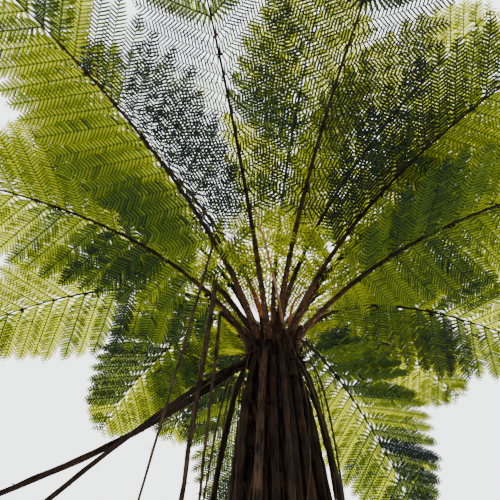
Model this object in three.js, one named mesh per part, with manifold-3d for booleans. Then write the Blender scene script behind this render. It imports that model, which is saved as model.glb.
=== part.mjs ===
// A tree fern rooted in the ground, about four metres to its crown: a leaning fibrous trunk with
// a flared foot, arching fronds round its top, one coiled young frond, and a skirt of dead stalks.
// Millimetres and degrees, +Z up, origin at the middle of the flat cut at ground level.
// Azimuths are counted from +X towards +Y.
import * as THREE from "three";
import { mergeVertices } from "three/addons/utils/BufferGeometryUtils.js";
import Module from "manifold-3d";

const wasm = await Module();
wasm.setup();

// The gap that separate pieces keep where they meet, and the one between crossing leaflets.
const SEAT_GAP = 0.3;
const LEAFLET_GAP = 3;

// The trunk, as radius and height from the foot to the shoulder of the crown.
const CROWN_HEIGHT = 4020;
const CROWN_LEAN = 112;
const TRUNK_SIDES = 20;
const TRUNK_PROFILE = [
  [225, 0],
  [196, 50],
  [160, 170],
  [134, 420],
  [116, 900],
  [104, 1700],
  [98, 2700],
  [102, 3450],
  [120, 3700],
  [124, 3840],
  [108, 3920],
  [74, 3985],
];

// Every frond is a bare stalk, then a blade of leaflets cut to the rib.
const FROND_LENGTH = 2600;
const ARCH_STEPS = 40;
const BARE_SHARE = 0.25;
const BARE_STATIONS = 5;
const LEAFLET_PAIRS = 18;
const PITCH_CURVE = 1.12;
const STALK_WIDTH = 36;
const STALK_TIP_WIDTH = 6;
const STALK_TAPER = 0.8;
const LEAFLET_LONGEST = 560;
const LONGEST_AT = 0.36;
const FIRST_LEAFLET_SHARE = 0.5;
const LAST_LEAFLET_SHARE = 0.1;
const LEAFLET_DECLINE = 1.15;
const LEAFLET_FORWARD = [18, 42];
const LEAFLET_DROOP = [6, 16];
const LEAFLET_SHOULDER = 0.6;
const LEAFLET_FILL = 0.84;
const LEAFLET_THICKNESS_SHARE = 0.012;
const LEAFLET_TRIMS = [1, 0.8, 0.6, 0.4, 0.25];

// A frond whose arch turns by more than this is two pieces, which meet at one of its stations.
const SPLIT_TURN = 110;
const SPLIT_STATION = 10;

// The fronds by azimuth, slope at the foot and at the tip, how late the arch bends over,
// and the foot's height and distance from the trunk's centre line.
const FRONDS = [
  { azimuth: 340, rise: 55, fall: -26, bend: 1.08, foot: 3860, out: 105 },
  { azimuth: 286, rise: 63, fall: -26, bend: 0.72, foot: 3950, out: 85 },
  { azimuth: 232, rise: 71, fall: -34, bend: 0.85, foot: 3800, out: 118 },
  { azimuth: 200, rise: 72, fall: -30, bend: 0.92, foot: 3800, out: 118 },
  { azimuth: 318, rise: 65, fall: -25, bend: 0.95, foot: 3870, out: 104 },
  { azimuth: 258, rise: 70, fall: -21, bend: 1, foot: 3760, out: 118 },
  { azimuth: 58, rise: 83, fall: -46, bend: 0.86, foot: 3930, out: 95 },
  { azimuth: 17, rise: 80, fall: -28, bend: 0.93, foot: 3870, out: 112 },
  { azimuth: 96, rise: 78, fall: -34, bend: 0.95, foot: 3890, out: 108 },
  { azimuth: 330, rise: 66, fall: -14, bend: 0.93, foot: 3925, out: 84 },
  { azimuth: 171, rise: 85, fall: -48, bend: 1.04, foot: 3860, out: 122 },
  { azimuth: 134, rise: 84, fall: -55, bend: 1.45, foot: 3860, out: 122 },
  { azimuth: 357, rise: 82, fall: -21, bend: 0.95, foot: 3930, out: 94 },
  { azimuth: 309, rise: 78, fall: -20, bend: 0.91, foot: 3975, out: 50 },
  { azimuth: 225, rise: 86, fall: -30, bend: 0.9, foot: 3980, out: 62 },
  { azimuth: 205, rise: 76, fall: -15, bend: 1.15, foot: 3950, out: 95 },
  { azimuth: 280, rise: 86, fall: -30, bend: 0.95, foot: 3995, out: 12 },
  { azimuth: 38, rise: 85, fall: -22, bend: 0.94, foot: 3985, out: 52 },
  { azimuth: 115, rise: 84, fall: -18, bend: 1, foot: 3985, out: 62 },
];

// The coiled young frond in the middle of the crown: a straight stalk, then a flat coil.
const CROZIER = { azimuth: 150, out: 26, foot: 3990, height: 290, width: 20 };
const CROZIER_TIP_SHARE = 0.6;
const CROZIER_STEPS = 24;
const STRAIGHT_POINTS = 3;
const COIL_OUTER = 44;
const COIL_INNER = 17;
const COIL_TURNS = 1.15;
const COIL_POINTS = 12;

// The skirt of dead stalks that hang round the trunk, in two rings, one outside the other.
const SKIRT_RINGS = [
  { count: 12, start: 26, foot: 3600, spread: 150, length: 1550, width: 22 },
  { count: 12, start: 11, foot: 3750, spread: 215, length: 1850, width: 26 },
];
const SKIRT_SPREAD_WAVE = 32;
const SKIRT_FOOT_WAVE = 30;
const SKIRT_LENGTH_WAVE = 260;
const SKIRT_WAVE_TURN = 2.4;
const KNEE_DROP_SHARE = 0.1;
const KNEE_SPREAD_SHARE = 0.9;
const ROOT_OUT = 100;
const HUNG_TIP_SHARE = 0.4;
const STALK_SIDES = 5;
const STALK_STEPS = 4;

// Two dead stalks that sweep far out on the -X side.
const SWEEPING_STALKS = [
  { azimuth: 182, rise: -56, fall: -7, bend: 1.29, foot: 3800, out: 108, length: 2250, width: 34 },
  { azimuth: 200, rise: -20, fall: -67, bend: 0.12, foot: 3730, out: 108, length: 2150, width: 24 },
];
const SWEEPING_TIP_SHARE = 0.35;
const SWEEPING_STEPS = 9;

// Dead stalks that rise, snap over and hang: where they leave the trunk, then the snapped apex
// and the hanging tip, both measured from the crown's middle at ground level.
const SNAPPED_STALKS = {
  high: { azimuth: 221, foot: 3925, apex: [-337, -355, 4595], tip: [-405, -402, 2450], width: 17 },
  broad: { azimuth: 216, foot: 3870, apex: [-316, -215, 4215], tip: [-335, -175, 2450], width: 30 },
  low: { azimuth: 215, foot: 3775, apex: [-280, -150, 3985], tip: [-288, -142, 2500], width: 20 },
};
const SNAPPED_ARCH = 40;

// A thin bent stalk among the live ones, on the -Y side, with its bend and tip measured alike.
const BENT_STALK = { azimuth: 302, foot: 3930, bend: [0, -344, 4198], tip: [-96, -599, 4318], width: 12 };

const FIBRE = new THREE.MeshStandardMaterial({ color: 0x2b1d14, roughness: 0.96, metalness: 0 });
const LIVE_BLADE = new THREE.MeshStandardMaterial({ color: 0x4d6b1c, roughness: 0.6, metalness: 0 });
const YOUNG_SCALES = new THREE.MeshStandardMaterial({ color: 0x6d4a2c, roughness: 0.85, metalness: 0 });
const DEAD_STALK = new THREE.MeshStandardMaterial({ color: 0x4a2f1f, roughness: 0.85, metalness: 0 });

const { degToRad, lerp } = THREE.MathUtils;
const UP = new THREE.Vector3(0, 0, 1);

// The trunk's centre line, one straight lean from the foot to the crown.
function trunkCentre(height) {
  return new THREE.Vector3((CROWN_LEAN * height) / CROWN_HEIGHT, 0, height);
}

function outward(azimuth) {
  return new THREE.Vector3(Math.cos(degToRad(azimuth)), Math.sin(degToRad(azimuth)), 0);
}

// A closed geometry as a solid that can be cut and joined.
function solidOf(geometry) {
  const plain = geometry.clone();
  plain.deleteAttribute("normal");
  plain.deleteAttribute("uv");
  const merged = mergeVertices(plain, 1e-3);
  const vertProperties = Float32Array.from(merged.attributes.position.array);
  const triVerts = Uint32Array.from(merged.index.array);
  return new wasm.Manifold(new wasm.Mesh({ numProp: 3, vertProperties, triVerts }));
}

function geometryOf(solid) {
  const mesh = solid.getMesh();
  const geometry = new THREE.BufferGeometry();
  geometry.setAttribute("position", new THREE.BufferAttribute(mesh.vertProperties, 3));
  geometry.setIndex(new THREE.BufferAttribute(mesh.triVerts, 1));
  return geometry;
}

// The largest body of a solid, without the scraps that a cut leaves.
function mainBody(solid) {
  return solid.decompose().reduce((most, body) => (body.volume() > most.volume() ? body : most));
}

function namedMesh(name, solid, material) {
  const mesh = new THREE.Mesh(geometryOf(solid), material);
  mesh.name = name;
  return mesh;
}

// The trunk, turned from its profile and then leant over.
function trunkSolid(extra) {
  const outline = TRUNK_PROFILE.map(([radius, height]) => new THREE.Vector2(radius + extra, height));
  const foot = new THREE.Vector2(0, 0);
  const top = new THREE.Vector2(0, CROWN_HEIGHT + extra);
  const geometry = new THREE.LatheGeometry([foot, ...outline, top], TRUNK_SIDES);
  geometry.rotateX(Math.PI / 2);
  const position = geometry.getAttribute("position");
  for (let i = 0; i < position.count; i += 1) {
    position.setX(i, position.getX(i) + trunkCentre(position.getZ(i)).x);
  }
  return solidOf(geometry);
}

// A round stalk along a curve, tapering from its foot to its tip.
function taperedStalk(curve, width, tipShare, steps) {
  const corners = [];
  for (let i = 0; i < STALK_SIDES; i += 1) {
    const turn = (2 * Math.PI * i) / STALK_SIDES;
    corners.push(new THREE.Vector2((Math.cos(turn) * width) / 2, (Math.sin(turn) * width) / 2));
  }
  const section = new THREE.Shape(corners);
  const geometry = new THREE.ExtrudeGeometry(section, { steps, extrudePath: curve, bevelEnabled: false });
  const centres = curve.getSpacedPoints(steps);
  const position = geometry.getAttribute("position");
  const corner = new THREE.Vector3();
  for (let i = 0; i < position.count; i += 1) {
    corner.fromBufferAttribute(position, i);
    const gaps = centres.map((centre) => centre.distanceTo(corner));
    const nearest = gaps.indexOf(Math.min(...gaps));
    const share = lerp(1, tipShare, nearest / steps);
    corner.sub(centres[nearest]).multiplyScalar(share).add(centres[nearest]);
    position.setXYZ(i, corner.x, corner.y, corner.z);
  }
  return solidOf(geometry);
}

// The slope of an arching stalk a share of the way along it.
function slopeAt(stalk, share) {
  return degToRad(lerp(stalk.rise, stalk.fall, share ** stalk.bend));
}

// The line of an arching stalk, with points evenly spaced along it.
function archCurve(stalk, length) {
  const way = outward(stalk.azimuth);
  const point = trunkCentre(stalk.foot).addScaledVector(way, stalk.out);
  const points = [point.clone()];
  const step = length / ARCH_STEPS;
  for (let i = 0; i < ARCH_STEPS; i += 1) {
    const slope = slopeAt(stalk, (i + 0.5) / ARCH_STEPS);
    point.addScaledVector(way, Math.cos(slope) * step).addScaledVector(UP, Math.sin(slope) * step);
    points.push(point.clone());
  }
  return new THREE.CatmullRomCurve3(points);
}

// A place on a frond's stalk, with its directions along, to the left side and up.
function frameAt(frond, share) {
  const slope = slopeAt(frond, share);
  const way = outward(frond.azimuth);
  return {
    share,
    point: frond.curve.getPoint(share),
    along: way.clone().multiplyScalar(Math.cos(slope)).addScaledVector(UP, Math.sin(slope)),
    side: outward(frond.azimuth + 90),
    up: way.clone().multiplyScalar(-Math.sin(slope)).addScaledVector(UP, Math.cos(slope)),
    half: lerp(STALK_WIDTH, STALK_TIP_WIDTH, share ** STALK_TAPER) / 2,
  };
}

// The shares of the stalk where the leaflets begin and end, closer together towards the tip.
function bladeStation(index) {
  return lerp(BARE_SHARE, 1, 1 - (1 - index / LEAFLET_PAIRS) ** PITCH_CURVE);
}

function stationShares() {
  const shares = [];
  for (let i = 0; i < BARE_STATIONS; i += 1) {
    shares.push((BARE_SHARE * i) / BARE_STATIONS);
  }
  for (let i = 0; i <= LEAFLET_PAIRS; i += 1) {
    shares.push(bladeStation(i));
  }
  return shares;
}

// A frond with the frames in which its spans start and end, and the stations between its pieces.
// They are the same frames, but a second piece starts a seat's gap further on.
function placedFrond(spec) {
  const frond = { ...spec, curve: archCurve(spec, FROND_LENGTH) };
  const shares = stationShares();
  frond.ends = shares.map((share) => frameAt(frond, share));
  frond.starts = [...frond.ends];
  frond.cuts = [0, shares.length - 1];
  if (spec.rise - spec.fall > SPLIT_TURN) {
    const next = shares[SPLIT_STATION] + SEAT_GAP / FROND_LENGTH;
    frond.starts[SPLIT_STATION] = frameAt(frond, next);
    frond.cuts.splice(1, 0, SPLIT_STATION);
  }
  return frond;
}

// A leaflet's length a share of the way along the blade.
function leafletLength(share) {
  if (share < LONGEST_AT) {
    return LEAFLET_LONGEST * lerp(FIRST_LEAFLET_SHARE, 1, Math.sin((Math.PI / 2) * (share / LONGEST_AT)));
  }
  const late = ((share - LONGEST_AT) / (1 - LONGEST_AT)) ** LEAFLET_DECLINE;
  return LEAFLET_LONGEST * lerp(1, LAST_LEAFLET_SHARE, 1 - Math.cos((Math.PI / 2) * late));
}

// A leaflet's outline from one station to the next, on the left (hand 1) or the right (hand -1).
function leafletOutline(frond, index, hand, trim) {
  const near = frond.starts[BARE_STATIONS + index];
  const far = frond.ends[BARE_STATIONS + index + 1];
  const share = (index + 0.5) / LEAFLET_PAIRS;
  const forward = degToRad(lerp(...LEAFLET_FORWARD, share));
  const droop = degToRad(lerp(...LEAFLET_DROOP, share));
  const length = leafletLength(share) * trim;
  const leafHalf = (length * LEAFLET_THICKNESS_SHARE) / 2;
  const way = near.side.clone().multiplyScalar(hand * Math.cos(forward) * Math.cos(droop));
  way.addScaledVector(near.along, Math.sin(forward) * Math.cos(droop));
  way.addScaledVector(near.up, -Math.sin(droop));
  const nearRoot = near.point.clone().addScaledVector(near.side, hand * near.half);
  const farRoot = far.point.clone().addScaledVector(far.side, hand * far.half);
  const middle = nearRoot.clone().lerp(farRoot, 0.5);
  const reach = (part) => middle.clone().addScaledVector(way, length * part);
  const halfWidth = farRoot.clone().sub(nearRoot).multiplyScalar(LEAFLET_FILL / 2);
  return {
    points: [
      nearRoot,
      reach(LEAFLET_SHOULDER).sub(halfWidth),
      reach(1),
      reach(LEAFLET_SHOULDER).add(halfWidth),
      farRoot,
    ],
    halves: [near.half, leafHalf, leafHalf, leafHalf, far.half],
    up: near.up,
  };
}

// A closed surface put together from faces that turn anticlockwise as seen from outside.
class Surface {
  constructor() {
    this.places = [];
    this.corners = [];
  }

  point(place) {
    this.places.push(place.x, place.y, place.z);
    return this.places.length / 3 - 1;
  }

  face(...points) {
    for (let i = 2; i < points.length; i += 1) {
      this.corners.push(points[0], points[i - 1], points[i]);
    }
  }

  solid() {
    const geometry = new THREE.BufferGeometry();
    geometry.setAttribute("position", new THREE.Float32BufferAttribute(this.places, 3));
    geometry.setIndex(this.corners);
    return solidOf(geometry);
  }
}

// The four corners of a stalk at one station: left and right on top, then right and left below.
function addRing(surface, frame) {
  const hands = [[1, 1], [-1, 1], [-1, -1], [1, -1]];
  return hands.map(([hand, rise]) => {
    const place = frame.point.clone().addScaledVector(frame.side, hand * frame.half);
    return surface.point(place.addScaledVector(frame.up, rise * frame.half));
  });
}

// A point of a leaflet's outline on its top face (rise 1) or its underside (rise -1).
function raised(leaflet, i, rise) {
  return leaflet.points[i].clone().addScaledVector(leaflet.up, rise * leaflet.halves[i]);
}

// A leaflet's top, underside and edge, on roots that are already in the surface.
function addLeaflet(surface, leaflet, hand, top, below) {
  const [nearRoot, nearShoulder, tip, farShoulder, farRoot] = [0, 1, 2, 3, 4];
  const upper = [top[0]];
  const lower = [below[0]];
  for (const i of [nearShoulder, tip, farShoulder]) {
    upper.push(surface.point(raised(leaflet, i, 1)));
    lower.push(surface.point(raised(leaflet, i, -1)));
  }
  upper.push(top[1]);
  lower.push(below[1]);
  const turned = (points) => (hand > 0 ? points : [...points].reverse());
  const faces = [
    [nearRoot, farRoot, farShoulder],
    [nearRoot, farShoulder, nearShoulder],
    [nearShoulder, farShoulder, tip],
  ];
  for (const face of faces) {
    surface.face(...turned(face.map((i) => upper[i])));
    surface.face(...turned(face.map((i) => lower[i]).reverse()));
  }
  for (let i = farRoot; i > nearRoot; i -= 1) {
    surface.face(...turned([lower[i], lower[i - 1], upper[i - 1], upper[i]]));
  }
}

// A frond from its first station to its last: its stalk, with a leaflet in place of each side
// face that has one.
function frondSolid(frond, leaflets, first, last) {
  const surface = new Surface();
  const frames = [frond.starts[first], ...frond.ends.slice(first + 1, last + 1)];
  const rings = frames.map((frame) => addRing(surface, frame));
  rings.slice(1).forEach((ring, i) => {
    const [a, b, c, d] = rings[i];
    const [e, f, g, h] = ring;
    surface.face(a, b, f, e);
    surface.face(d, h, g, c);
    const here = leaflets.filter((leaflet) => leaflet.index === first + i - BARE_STATIONS);
    const left = here.find((leaflet) => leaflet.hand > 0);
    const right = here.find((leaflet) => leaflet.hand < 0);
    if (left) {
      addLeaflet(surface, left.outline, 1, [a, e], [d, h]);
    } else {
      surface.face(a, e, h, d);
    }
    if (right) {
      addLeaflet(surface, right.outline, -1, [b, f], [c, g]);
    } else {
      surface.face(b, c, g, f);
    }
  });
  surface.face(...[...rings[0]].reverse());
  surface.face(...rings[rings.length - 1]);
  return surface.solid();
}

// A leaflet alone, as a closed slab.
function leafletSolid(leaflet, hand) {
  const surface = new Surface();
  const order = hand > 0 ? [4, 3, 2, 1, 0] : [0, 1, 2, 3, 4];
  const upper = order.map((i) => surface.point(raised(leaflet, i, 1)));
  const lower = order.map((i) => surface.point(raised(leaflet, i, -1)));
  surface.face(...upper);
  surface.face(...[...lower].reverse());
  upper.forEach((corner, i) => {
    const next = (i + 1) % upper.length;
    surface.face(lower[i], lower[next], upper[next], corner);
  });
  return surface.solid();
}

// Whether a solid comes nearer than a gap to any of the obstacles.
function meets(solid, obstacles, gap) {
  const box = solid.boundingBox();
  return obstacles.some((obstacle) => {
    const past = (a, b) => [0, 1, 2].some((i) => a.min[i] > b.max[i] + gap);
    const apart = past(box, obstacle.box) || past(obstacle.box, box);
    return !apart && solid.minGap(obstacle.solid, gap) < gap;
  });
}

function asObstacle(solid) {
  return { solid, box: solid.boundingBox() };
}

// The leaflets of a frond. One that would meet an obstacle is shortened, or at last left out.
function fittedLeaflets(frond, obstacles) {
  const leaflets = [];
  for (let index = 0; index < LEAFLET_PAIRS; index += 1) {
    for (const hand of [1, -1]) {
      const outlines = LEAFLET_TRIMS.map((trim) => leafletOutline(frond, index, hand, trim));
      const outline = outlines.find(
        (shape) => !meets(leafletSolid(shape, hand), obstacles, LEAFLET_GAP),
      );
      if (outline) {
        leaflets.push({ index, hand, outline });
      }
    }
  }
  return leaflets;
}

// Where a dead stalk leaves the trunk, just under its surface.
function stalkRoot(azimuth, foot) {
  return trunkCentre(foot).addScaledVector(outward(azimuth), ROOT_OUT);
}

// A place measured from the crown's middle, in the plant's own frame.
function fromCrown([x, y, z]) {
  return new THREE.Vector3(CROWN_LEAN + x, y, z);
}

// The skirt: each stalk leaves the trunk and hangs down at its spread from the centre line.
function skirtStalks() {
  return SKIRT_RINGS.flatMap((ring) =>
    Array.from({ length: ring.count }, (_, i) => {
      const azimuth = ring.start + (360 * i) / ring.count;
      const way = outward(azimuth);
      const wave = Math.sin(i * SKIRT_WAVE_TURN);
      const spread = ring.spread + SKIRT_SPREAD_WAVE * wave;
      const foot = ring.foot + SKIRT_FOOT_WAVE * wave;
      const length = ring.length + SKIRT_LENGTH_WAVE * Math.cos(i * SKIRT_WAVE_TURN);
      const knee = trunkCentre(foot - length * KNEE_DROP_SHARE);
      knee.addScaledVector(way, spread * KNEE_SPREAD_SHARE);
      const tip = trunkCentre(foot - length).addScaledVector(way, spread);
      const curve = new THREE.QuadraticBezierCurve3(stalkRoot(azimuth, foot), knee, tip);
      return taperedStalk(curve, ring.width, HUNG_TIP_SHARE, STALK_STEPS);
    }),
  );
}

function sweepingStalks() {
  return SWEEPING_STALKS.map((stalk) =>
    taperedStalk(archCurve(stalk, stalk.length), stalk.width, SWEEPING_TIP_SHARE, SWEEPING_STEPS),
  );
}

// The two halves of a snapped stalk: the one that rises, cut clear of the one that hangs.
function snappedStalk(stalk) {
  const root = stalkRoot(stalk.azimuth, stalk.foot);
  const apex = fromCrown(stalk.apex);
  const arch = root.clone().lerp(apex, 0.5).addScaledVector(UP, SNAPPED_ARCH);
  const curve = new THREE.QuadraticBezierCurve3(root, arch, apex);
  const rise = taperedStalk(curve, stalk.width, 1, STALK_STEPS);
  const hangFrom = (start, width) => {
    const line = new THREE.LineCurve3(start, fromCrown(stalk.tip));
    return taperedStalk(line, width, HUNG_TIP_SHARE, STALK_STEPS);
  };
  const above = apex.clone().addScaledVector(UP, SEAT_GAP);
  return {
    rise: rise.subtract(hangFrom(above, stalk.width + 2 * SEAT_GAP)),
    hang: hangFrom(apex, stalk.width),
  };
}

function bentStalk() {
  const { azimuth, foot, bend, tip, width } = BENT_STALK;
  const curve = new THREE.QuadraticBezierCurve3(stalkRoot(azimuth, foot), fromCrown(bend), fromCrown(tip));
  return taperedStalk(curve, width, HUNG_TIP_SHARE, STALK_STEPS);
}

// The young frond: up its stalk, then round a coil that tightens.
function crozier() {
  const way = outward(CROZIER.azimuth);
  const base = trunkCentre(CROZIER.foot).addScaledVector(way, CROZIER.out);
  const top = base.clone().addScaledVector(UP, CROZIER.height);
  const points = [];
  for (let i = 0; i < STRAIGHT_POINTS; i += 1) {
    points.push(base.clone().lerp(top, i / STRAIGHT_POINTS));
  }
  const centre = top.clone().addScaledVector(way, -COIL_OUTER);
  for (let i = 0; i <= COIL_POINTS; i += 1) {
    const turn = (2 * Math.PI * COIL_TURNS * i) / COIL_POINTS;
    const radius = lerp(COIL_OUTER, COIL_INNER, i / COIL_POINTS);
    const place = centre.clone().addScaledVector(way, Math.cos(turn) * radius);
    points.push(place.addScaledVector(UP, Math.sin(turn) * radius));
  }
  const curve = new THREE.CatmullRomCurve3(points);
  return taperedStalk(curve, CROZIER.width, CROZIER_TIP_SHARE, CROZIER_STEPS);
}

const trunk = trunkSolid(0);
const trunkSpace = trunkSolid(SEAT_GAP);
const group = new THREE.Group();
const obstacles = [asObstacle(trunk)];
group.add(namedMesh("trunk", trunk, FIBRE));

function addStalk(name, solid, material = DEAD_STALK) {
  const clear = mainBody(solid.subtract(trunkSpace));
  obstacles.push(asObstacle(clear));
  group.add(namedMesh(name, clear, material));
}

skirtStalks().forEach((stalk, i) => addStalk(`skirt_stalk_${i + 1}`, stalk));
sweepingStalks().forEach((stalk, i) => addStalk(`sweeping_stalk_${i + 1}`, stalk));
for (const [name, stalk] of Object.entries(SNAPPED_STALKS)) {
  const { rise, hang } = snappedStalk(stalk);
  addStalk(`snapped_${name}_rise`, rise);
  addStalk(`snapped_${name}_hang`, hang);
}
addStalk("bent_stalk", bentStalk());
addStalk("crozier", crozier(), YOUNG_SCALES);

const fronds = FRONDS.map(placedFrond);
const ribs = fronds.map((frond) => asObstacle(frondSolid(frond, [], 0, frond.cuts.at(-1))));
fronds.forEach((frond, i) => {
  const others = ribs.filter((rib) => rib !== ribs[i]);
  const leaflets = fittedLeaflets(frond, [...obstacles, ...others]);
  for (const { outline, hand } of leaflets) {
    obstacles.push(asObstacle(leafletSolid(outline, hand)));
  }
  const names = frond.cuts.length > 2 ? ["_inner", "_outer"] : [""];
  names.forEach((name, piece) => {
    const [first, last] = frond.cuts.slice(piece);
    const solid = mainBody(frondSolid(frond, leaflets, first, last).subtract(trunkSpace));
    group.add(namedMesh(`frond_${i + 1}${name}`, solid, LIVE_BLADE));
  });
});

export default group;
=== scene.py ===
"""A tree fern seen from under its crown: fine leaflets on arching fronds, a fibrous trunk and dead stalks.

Everything grows by the same rule as the solids, in metres, and is carried on to finer leaflets.
"""

import math
from typing import NamedTuple

import bmesh
import bpy
import numpy as np
from mathutils import Matrix, Vector, noise


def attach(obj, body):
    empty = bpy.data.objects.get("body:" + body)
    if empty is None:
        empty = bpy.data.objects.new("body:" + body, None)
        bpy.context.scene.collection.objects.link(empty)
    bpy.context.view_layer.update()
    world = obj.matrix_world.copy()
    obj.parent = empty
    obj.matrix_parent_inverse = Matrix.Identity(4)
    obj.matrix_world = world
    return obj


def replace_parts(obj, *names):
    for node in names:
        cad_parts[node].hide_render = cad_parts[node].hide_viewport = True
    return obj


SEED = 11
UP = np.array((0.0, 0.0, 1.0))
MERGE_DISTANCE = 1e-5

# Slanting directions, from which the sides of strands and of tubes are worked out.
STRAND_ASIDE = (0.31, 0.17, 0.93)
TUBE_ASIDE = (0.2, 0.9, 0.1)


def lerp(a, b, share):
    """The value a share of the way from a to b."""
    return a + (b - a) * share


# The camera, at eye height under the crown and tilted up, and the light.
CAMERA_PLACE = (-0.012, -1.5, 1.5)
CAMERA_TILT = math.radians(158.1)
CAMERA_LENS = 38.6
CAMERA_SENSOR = 36
CAMERA_CLIP = (0.05, 100)
SUN_TILT = math.radians(-22)
SUN_STRENGTH = 5.0
SUN_SOFTNESS = math.radians(3)
SURROUND_LOW = (0.27, 0.28, 0.29)
SURROUND_HIGH = (0.96, 0.98, 1.0)
SURROUND_STOPS = (0.1, 0.62)
SURROUND_STRENGTH = 3.6
FLOOR_SIZE = 3.4
FLOOR_COLOUR = (0.78, 0.78, 0.76)
FLOOR_ROUGHNESS = 0.9

# The trunk, as radius and height from the foot to the shoulder of the crown.
CROWN_HEIGHT = 4.02
CROWN_LEAN = 0.112
TRUNK_PROFILE = (
    (0.225, 0.0), (0.196, 0.05), (0.16, 0.17), (0.134, 0.42), (0.116, 0.9), (0.104, 1.7),
    (0.098, 2.7), (0.102, 3.45), (0.12, 3.7), (0.124, 3.84), (0.108, 3.92), (0.074, 3.985),
)
TRUNK_ROWS = 330
TRUNK_COLUMNS = 132
FIBRE_DEPTH = 0.011
RIDGE_SHARE = 0.9
SUNK_SHARE = 0.55
FINE_SHARE = 0.5
LUMP_SHARE = 0.55
BUTTRESS_DEPTH = 0.0352
BUTTRESS_HEIGHT = 0.35


class ReliefLayer(NamedTuple):
    """One layer of noise on the trunk: how close it is round the trunk and up it, and where it starts."""

    around: float
    upward: float
    start: tuple

    def at(self, turn, height):
        x, y, z = self.start
        return noise.noise(turn * self.around + Vector((x, y, height * self.upward + z)))


STRAND_LAYER = ReliefLayer(5.5, 1.7, (0, 0, 0))
FINE_LAYER = ReliefLayer(15, 4.5, (0, 0, 7))
LUMP_LAYER = ReliefLayer(2.2, 5.5, (0, 0, 31))
BUTTRESS_LAYER = ReliefLayer(2.6, 0.8, (3, 5, 0))

# Each frond: a bare stalk, then a blade of leaflets.
FROND_LENGTH = 2.6
ARCH_STEPS = 40
BARE_SHARE = 0.25
LEAFLET_PAIRS = 18
PITCH_CURVE = 1.12
STALK_WIDTH = 0.036
STALK_TIP_WIDTH = 0.006
STALK_TAPER = 0.8
LEAFLET_LONGEST = 0.56
LONGEST_AT = 0.36
FIRST_LEAFLET_SHARE = 0.5
LAST_LEAFLET_SHARE = 0.1
LEAFLET_DECLINE = 1.15
LEAFLET_FORWARD = (18, 42)
LEAFLET_DROOP = (6, 16)
LEAFLET_THICKNESS_SHARE = 0.012
LEAFLET_TRIMS = (1, 0.8, 0.6, 0.4, 0.25)
TRIM_TOLERANCE = 0.002
LEAFLET_TURN = 0.07
LEAFLET_LIFT = 0.03
LEAFLET_SWING = 0.02
LEAFLET_LENGTHS = (0.95, 1.0)
STALK_STATIONS = 64
STALK_END = 0.995
STALK_SIDES = 12
STALK_GROOVE = 0.22
GROOVE_ANGLE = 0.55
CLASP_SWELL = 0.28
CLASP_SPAN = 0.035

# The short leaflets down a stalk, as places along it and lengths, and the leaflet at its tip.
LOW_LEAFLETS = ((0.165, 0.11), (0.193, 0.17), (0.222, 0.23))
LEAFY_FRONDS = (7, 9, 11, 12, 17, 18, 19)
LEAFY_SPAN = (0.06, 0.222)
LEAFY_LENGTHS = (0.1, 0.28)
LEAFY_LEAFLETS = tuple(
    (lerp(*LEAFY_SPAN, i / 9), lerp(*LEAFY_LENGTHS, (i / 9) ** 0.5)) for i in range(10)
)
LOW_LEAFLET_FORWARD = math.radians(8)
LOW_ROOT_SHARE = 0.9
LOW_REACH_SHARE = 0.27
TERMINAL_SHARE = 0.965
TERMINAL_LENGTH = 0.11
TERMINAL_REACH = TERMINAL_LENGTH / 4

# A leaflet's rib.
RIB_WIDTH = 0.0055
RIB_WIDTH_SHARE = 0.03
RIB_TIP_SHARE = 0.25
RIB_SPAN = (-0.01, 0.96)
RIB_STATIONS = 7
RIB_SIDES = 3
RIB_DROOP = 0.07

# The small leaflets that a leaflet carries in two rows.
SMALL_PITCH = 0.0198
SMALL_SPAN = 0.97
SMALL_START = 0.4
SMALL_STAGGER = 0.25
SMALL_REACH = 0.75
SMALL_REACH_SHARE = 0.3
SMALL_FOOT_SHARE = 0.76
SMALL_FOOT_RISE = 1.6
SMALL_TIP_BLUNTNESS = (4, 0.8)
SMALL_LEAST = 0.35
SMALL_LENGTHS = (0.93, 1.04)
SMALL_WIDEST = 0.5
SMALL_ANGLE = math.radians(66)
FIRST_SMALL_ANGLE = math.radians(88)
FIRST_SMALL_SPAN = 0.16
SMALL_SWING = 0.022
SMALL_TILT = -0.05
SMALL_TILT_SPREAD = 0.045
SMALL_TWIST = 0.1
SMALL_LOBES = 7
SMALL_TAPER = 0.75
SMALL_CURL = 0.16
SMALL_DROOP = 0.1
LOBE_SPAN = (-0.36, 0.6)
LOBE_END_SHARE = 0.9
LOBE_DROP = 0.12
RIB_OVERLAP = 0.26
# Painted shade: the narrower side of each small leaflet takes a tint some steps darker than the other side.
PAINTED_SHADE_SHARE = 0.4
PAINTED_SHADE_STEPS = 2


class FrondSpec(NamedTuple):
    """A frond's azimuth, its slopes at foot and tip, how late it bends over and where its foot is.

    Of its two tints, which paint the light and shade that fall on each side, the first is for the leaflets on
    the left of a stalk that is seen from under its foot.
    The last value closes up the comb of its small leaflets.
    """

    azimuth: float
    rise: float
    fall: float
    bend: float
    foot: float
    out: float
    tints: tuple
    closeness: float = 1.0


# Each frond's two tints paint the light and shade that fall on its two sides.
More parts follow.
